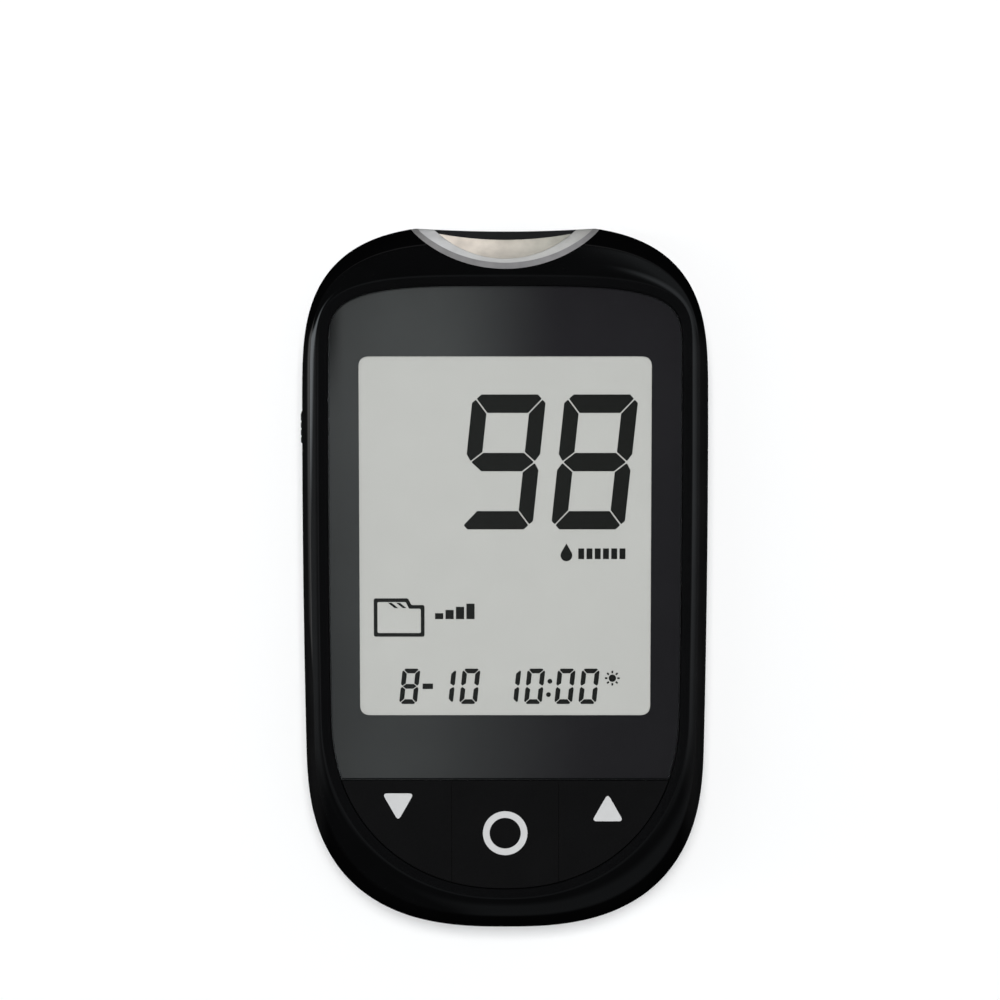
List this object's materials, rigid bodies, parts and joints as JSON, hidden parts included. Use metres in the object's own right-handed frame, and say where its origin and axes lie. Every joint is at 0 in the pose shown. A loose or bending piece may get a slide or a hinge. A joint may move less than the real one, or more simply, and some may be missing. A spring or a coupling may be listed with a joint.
{
  "type": "blood glucose meter",
  "caption": "Handheld blood glucose meter: two black shells, smoked display lens, half-moon keys, test strip port with a translucent collar, thumb ejector and a sliding battery door.",
  "frame": {"origin": "middle of the flat back, under the centre of the case", "axes": "+Z out of the display, +Y towards the test strip port, +X to the right as the display is read"},
  "size_m": [0.0551, 0.0951, 0.022],
  "materials": {
    "case_gloss": "high gloss moulded black",
    "case_satin": "satin moulded black",
    "lens_smoked": "clear smoked acrylic, polished",
    "mask_black": "printed film",
    "display_grey": "reflective liquid crystal glass",
    "holder_white": "moulded white",
    "zebra_rubber": "layered silicone",
    "board_green": "solder mask",
    "chip_black": "moulded epoxy",
    "can_metal": "plain can",
    "parts_tan": "ceramic bodies",
    "buzzer_black": "moulded",
    "connector_ivory": "moulded",
    "contact_gold": "gold plated spring strip",
    "collar_grey": "translucent moulded grey",
    "dish_cream": "translucent moulded cream",
    "lamp_white": "diffusing resin",
    "spring_steel": "drawn wire",
    "key_black": "fine matte texture with printed icons",
    "mat_grey": "moulded silicone",
    "pill_carbon": "carbon loaded silicone",
    "cell_jacket": "plain printed jacket over a steel can",
    "plate_nickel": "nickel plated sheet",
    "screw_steel": "zinc plated"
  },
  "bodies": {
    "case": {"front_shell": "case_gloss", "rear_shell": "case_satin", "display_lens": "lens_smoked", "lens_mask": "mask_black", "lcd_panel": "display_grey", "lcd_holder": "holder_white", "zebra_strip": "zebra_rubber", "main_board": "board_green", "processor": "chip_black", "memory_chip": "chip_black", "clock_crystal": "can_metal", "board_parts": "parts_tan", "buzzer": "buzzer_black", "strip_connector": "connector_ivory", "strip_contacts": "contact_gold", "port_collar": "collar_grey", "port_dish": "dish_cream", "port_leds": "lamp_white", "eject_spring": "spring_steel", "battery_springs": "spring_steel", "keypad_mat": "mat_grey", "contact_pills": "pill_carbon", "battery_left": "cell_jacket", "battery_right": "cell_jacket", "contact_plates": "plate_nickel", "case_screws": "screw_steel"},
    "key_down": {"key_down": "key_black"},
    "key_menu": {"key_menu": "key_black"},
    "key_up": {"key_up": "key_black"},
    "ejector": {"thumb_slide": "case_satin"},
    "door": {"battery_door": "case_satin"}
  },
  "joints": [
    {"name": "key_down_press", "type": "slide", "parent": "case", "child": "key_down", "axis": [0, 0, -1], "range_m": [0, 0.0005], "stiffness_N_per_m": 2000, "deforming": ["keypad_mat"]},
    {"name": "key_menu_press", "type": "slide", "parent": "case", "child": "key_menu", "axis": [0, 0, -1], "range_m": [0, 0.0005], "stiffness_N_per_m": 2000, "deforming": ["keypad_mat"]},
    {"name": "key_up_press", "type": "slide", "parent": "case", "child": "key_up", "axis": [0, 0, -1], "range_m": [0, 0.0005], "stiffness_N_per_m": 2000, "deforming": ["keypad_mat"]},
    {"name": "eject_slide", "type": "slide", "parent": "case", "child": "ejector", "axis": [0, 1, 0], "range_m": [0, 0.004], "stiffness_N_per_m": 150, "deforming": ["eject_spring"]},
    {"name": "battery_door_slide", "type": "slide", "parent": "case", "child": "door", "axis": [0, -1, 0], "range_m": [0, 0.005]}
  ]
}
